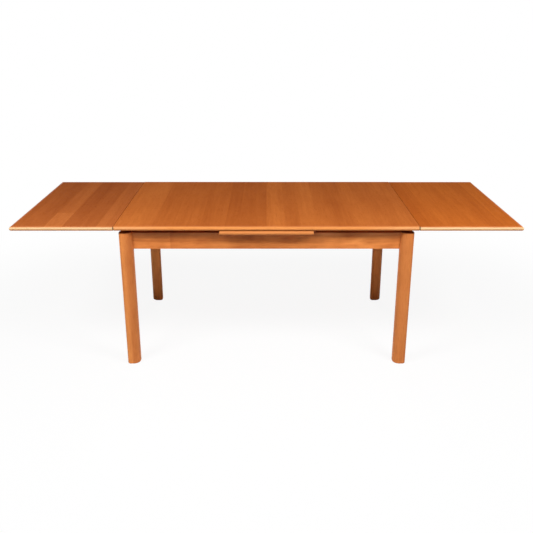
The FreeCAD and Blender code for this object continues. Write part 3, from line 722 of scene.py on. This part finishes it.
class TABLE_OT_set_stage(Operator):
    """Make the floor, the even white surround, the soft lamps and the camera."""

    bl_idname = "table.set_stage"
    bl_label = "Set the stage"

    def execute(self, context):
        studio = context.scene.table_studio
        self.lay_floor(context, studio)
        self.light_world(context, studio)
        for side in (-1, 1):
            place = (side * studio.lamp_side, -studio.lamp_front, studio.lamp_height)
            self.hang_lamp(context, studio, place, studio.lamp_power)
        behind = (0, studio.back_lamp_distance, studio.back_lamp_height)
        back_lamp = self.hang_lamp(context, studio, behind, studio.back_lamp_power)
        # The low lamp lights the back alone, and lays no glare along the top.
        back_lamp.visible_glossy = False
        self.place_camera(context, studio)
        return {"FINISHED"}

    def lay_floor(self, context, studio):
        half = studio.floor_size / 2
        corners = np.array([(-1, -1, 0), (1, -1, 0), (1, 1, 0), (-1, 1, 0)]) * half
        mesh = bpy.data.meshes.new("floor")
        mesh.from_pydata(corners.tolist(), [], [(0, 1, 2, 3)])
        floor = bpy.data.objects.new("floor", mesh)
        context.scene.collection.objects.link(floor)
        mesh.materials.append(self.floor_material(studio))

    def floor_material(self, studio):
        """Pale and matt, and white to the camera but for a share of the shadow near the table."""
        material, tree, shader, place = new_material("Pale floor", 0)
        feed(tree, shader.inputs["Base Color"], (studio.floor_tone,) * 3)
        shader.inputs["Roughness"].default_value = 1
        white = add(tree, "ShaderNodeEmission")
        reach = add(tree, "ShaderNodeVectorMath", operation="LENGTH")
        feed(tree, reach.inputs[0], place)
        near, far = studio.shadow_reach / 2, studio.shadow_reach
        whiteness = between(tree, reach.outputs["Value"], near, far, 1 - studio.shadow_share, 1)
        whiteness.node.interpolation_type = "SMOOTHSTEP"
        mix = add(tree, "ShaderNodeMixShader")
        feed(tree, mix.inputs[0], calculate(tree, "MULTIPLY", seen_directly(tree), whiteness))
        feed(tree, mix.inputs[1], shader.outputs[0])
        feed(tree, mix.inputs[2], white.outputs[0])
        feed(tree, tree.nodes["Material Output"].inputs["Surface"], mix.outputs[0])
        return material

    def light_world(self, context, studio):
        world = bpy.data.worlds.new("Studio")
        world.use_nodes = True
        tree = world.node_tree
        background = tree.nodes["Background"]
        background.inputs["Color"].default_value = (1, 1, 1, 1)
        strength = between(tree, seen_directly(tree), 0, 1, studio.fill_light, 1)
        feed(tree, background.inputs["Strength"], strength)
        context.scene.world = world

    def hang_lamp(self, context, studio, place, lamp_power):
        light = bpy.data.lights.new("soft_lamp", "AREA")
        light.energy = lamp_power
        light.size = studio.lamp_size
        lamp = bpy.data.objects.new("soft_lamp", light)
        lamp.location = place
        aim = Vector((0, 0, CAD_BOX[1][2])) - lamp.location
        lamp.rotation_euler = aim.to_track_quat("-Z", "Y").to_euler()
        context.scene.collection.objects.link(lamp)
        return lamp

    def place_camera(self, context, studio):
        camera = bpy.data.objects.new("camera", bpy.data.cameras.new("camera"))
        camera.data.lens = studio.camera_lens
        camera.location = (0, -studio.camera_distance, studio.camera_height)
        camera.rotation_euler = (QUARTER_TURN - studio.camera_tilt, 0, 0)
        context.scene.collection.objects.link(camera)
        context.scene.camera = camera


class TABLE_OT_finish_top(Operator):
    """Stave and lip the loose top and the centre board."""

    bl_idname = "table.finish_top"
    bl_label = "Finish the top"

    def execute(self, context):
        finish = context.scene.table_finish
        low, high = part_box("front_top_lipping")
        layers = {
            "top": (finish.top_crown_and_highlight, (low.x, high.x)),
            "centre": (finish.strip_crown_and_highlight, ()),
        }
        boards = {}
        for layer, (crown_and_highlight, seams) in layers.items():
            title = layer.title()
            board = staved_board(title, finish.top_wood, layer + "_panel", TOP_STAVE_SHARES, finish.top_front_light)
            boards[layer] = board
            long_lipping = round_lipping_material(
                f"{title} long lipping", board, Grain("X", TOP_LONG_SEED), finish.top_underside_shade, crown_and_highlight,
                seams,
            )
            dress((layer + "_panel",), stave_material(f"{title} staves", board))
            dress((f"front_{layer}_lipping", f"rear_{layer}_lipping"), long_lipping)
        end_lipping = seam_lipping_material("Top end lipping", boards["top"], Grain("Y", TOP_END_SEED))
        dress(("left_top_lipping", "right_top_lipping"), end_lipping)
        return {"FINISHED"}


class TABLE_OT_finish_leaves(Operator):
    """Stave and lip the two drawn leaves."""

    bl_idname = "table.finish_leaves"
    bl_label = "Finish the leaves"

    def execute(self, context):
        finish = context.scene.table_finish
        left_board = staved_board(
            "Left leaf", finish.left_leaf_wood, "left_leaf_panel", LEFT_LEAF_STAVE_SHARES,
            finish.left_leaf_front_light, LEFT_LEAF_DRIFT_SHARE, LEFT_LEAF_FRONT_PIECE_SHARES,
        )
        right_board = staved_board(
            "Right leaf", finish.right_leaf_wood, "right_leaf_panel", RIGHT_LEAF_STAVE_SHARES,
            finish.right_leaf_front_light,
        )
        left_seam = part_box("left_leaf_inner_lipping")[1].x
        right_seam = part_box("right_leaf_inner_lipping")[0].x
        self.finish_leaf(finish, "left", left_board, left_seam)
        self.finish_leaf(finish, "right", right_board, right_seam)
        return {"FINISHED"}

    def finish_leaf(self, finish, side, board, seam):
        leaf = side + "_leaf"
        title = f"{side.title()} leaf"
        long_edges = {"front": finish.leaf_crown_and_highlight, "rear": finish.leaf_end_lipping}
        for edge, crown_and_highlight in long_edges.items():
            long_lipping = round_lipping_material(
                f"{title} {edge} lipping", board, Grain("X", LEAF_LONG_SEED), finish.leaf_underside,
                crown_and_highlight, (seam,),
            )
            dress((f"{leaf}_{edge}_lipping",), long_lipping)
        end_lipping = round_lipping_material(
            f"{title} end lipping", board, Grain("Y", LEAF_END_SEED), finish.leaf_underside,
            finish.leaf_end_lipping,
        )
        inner_lipping = seam_lipping_material(f"{title} inner lipping", board, Grain("Y", LEAF_INNER_SEED))
        dress((leaf + "_panel",), stave_material(f"{title} staves", board))
        dress((leaf + "_outer_lipping",), end_lipping)
        dress((leaf + "_inner_lipping",), inner_lipping)


class TABLE_OT_finish_frame(Operator):
    """Finish the legs, the aprons and the strips that the leaves slide on."""

    bl_idname = "table.finish_frame"
    bl_label = "Finish the frame"

    def execute(self, context):
        finish = context.scene.table_finish
        for index, (corner, tones) in enumerate(LEG_TONE_AND_LIGHT_SHARES.items()):
            name = "leg_" + corner
            low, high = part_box(name)
            # The legs' tops darken with their end grain and with painted shade.
            leg = wood_material(
                f"Leg {corner.replace('_', ' ')}", finish.leg_wood,
                Grain("Z", LEG_SEED_STEP * index, finish.leg_mottle),
                tones=(tones, low.x, high.x),
                upper_end=(high.z, finish.leg_top_shade_reach, finish.end_grain_and_shade),
            )
            dress((name,), leg)
        low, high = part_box("front_apron")
        # Painted shade along the aprons' tops.
        shaded_edge = (high.z, finish.apron_top_shade_reach, finish.apron_top_shade)
        side_apron = wood_material(
            "Side apron", finish.apron_wood,
            Grain("X", SIDE_APRON_SEED, finish.side_apron_mottle, finish.apron_streak_depth),
            tones=(APRON_TONE_SHARES, low.x, high.x),
            upper_end=shaded_edge,
        )
        end_apron = wood_material(
            "End apron", finish.apron_wood,
            Grain("Y", END_APRON_SEED, finish.end_apron_mottle, finish.apron_streak_depth),
            upper_end=shaded_edge,
        )
        # The bearers' wood is painted shade.
        bearer = wood_material("Leaf bearer shade", finish.bearer_shade_wood, Grain("X", BEARER_SEED))
        dress(("front_apron", "rear_apron"), side_apron)
        dress(("left_end_apron", "right_end_apron"), end_apron)
        dress([name for name in TABLE_NODES if name.startswith("leaf_bearer")], bearer)
        return {"FINISHED"}


class TABLE_OT_finish_inside(Operator):
    """Finish the unstained rails, lopers, blocks and pegs under the boards."""

    bl_idname = "table.finish_inside"
    bl_label = "Finish the inside"

    def execute(self, context):
        finish = context.scene.table_finish
        grains = {
            "X": ("loper", "stop_block"),
            "Y": ("cross_rail",),
            "Z": ("guide_peg", "corner_block"),
        }
        for axis, words in grains.items():
            material = wood_material(f"Inner wood {axis}", finish.inner_wood, Grain(axis, INNER_WOOD_SEED))
            for name in TABLE_NODES:
                if any(word in name for word in words) and not name.endswith("screws"):
                    dress((name,), material)
        return {"FINISHED"}


class TABLE_OT_finish_fittings(Operator):
    """Finish the screws, bolts, washers and nuts."""

    bl_idname = "table.finish_fittings"
    bl_label = "Finish the fittings"

    def execute(self, context):
        words = ("screws", "bolts", "washers", "nuts")
        names = [name for name in TABLE_NODES if name.endswith(words)]
        dress(names, steel_material("Zinc plate", context.scene.table_finish.steel))
        return {"FINISHED"}


class TABLE_PT_table(Panel):
    """Lists the table's finishes, its studio and the steps that make them."""

    bl_label = "Extending table"
    bl_space_type = "VIEW_3D"
    bl_region_type = "UI"
    bl_category = "Table"

    def draw(self, context):
        for group in (context.scene.table_finish, context.scene.table_studio):
            column = self.layout.column()
            for name in group.__annotations__:
                column.prop(group, name)
        for step in STEPS:
            self.layout.operator(step.bl_idname)


STEPS = (
    TABLE_OT_set_stage,
    TABLE_OT_finish_top,
    TABLE_OT_finish_leaves,
    TABLE_OT_finish_frame,
    TABLE_OT_finish_inside,
    TABLE_OT_finish_fittings,
)
CLASSES = (TableFinish, TableStudio, *STEPS, TABLE_PT_table)


def register():
    for cls in CLASSES:
        bpy.utils.register_class(cls)
    bpy.types.Scene.table_finish = PointerProperty(type=TableFinish)
    bpy.types.Scene.table_studio = PointerProperty(type=TableStudio)


def unregister():
    del bpy.types.Scene.table_studio
    del bpy.types.Scene.table_finish
    for cls in reversed(CLASSES):
        bpy.utils.unregister_class(cls)


def main():
    register()
    bpy.context.scene.view_settings.view_transform = "Standard"
    wood_group()
    round_edge_group()
    bpy.ops.table.set_stage()
    bpy.ops.table.finish_top()
    bpy.ops.table.finish_leaves()
    bpy.ops.table.finish_frame()
    bpy.ops.table.finish_inside()
    bpy.ops.table.finish_fittings()


if __name__ == "__main__":
    main()
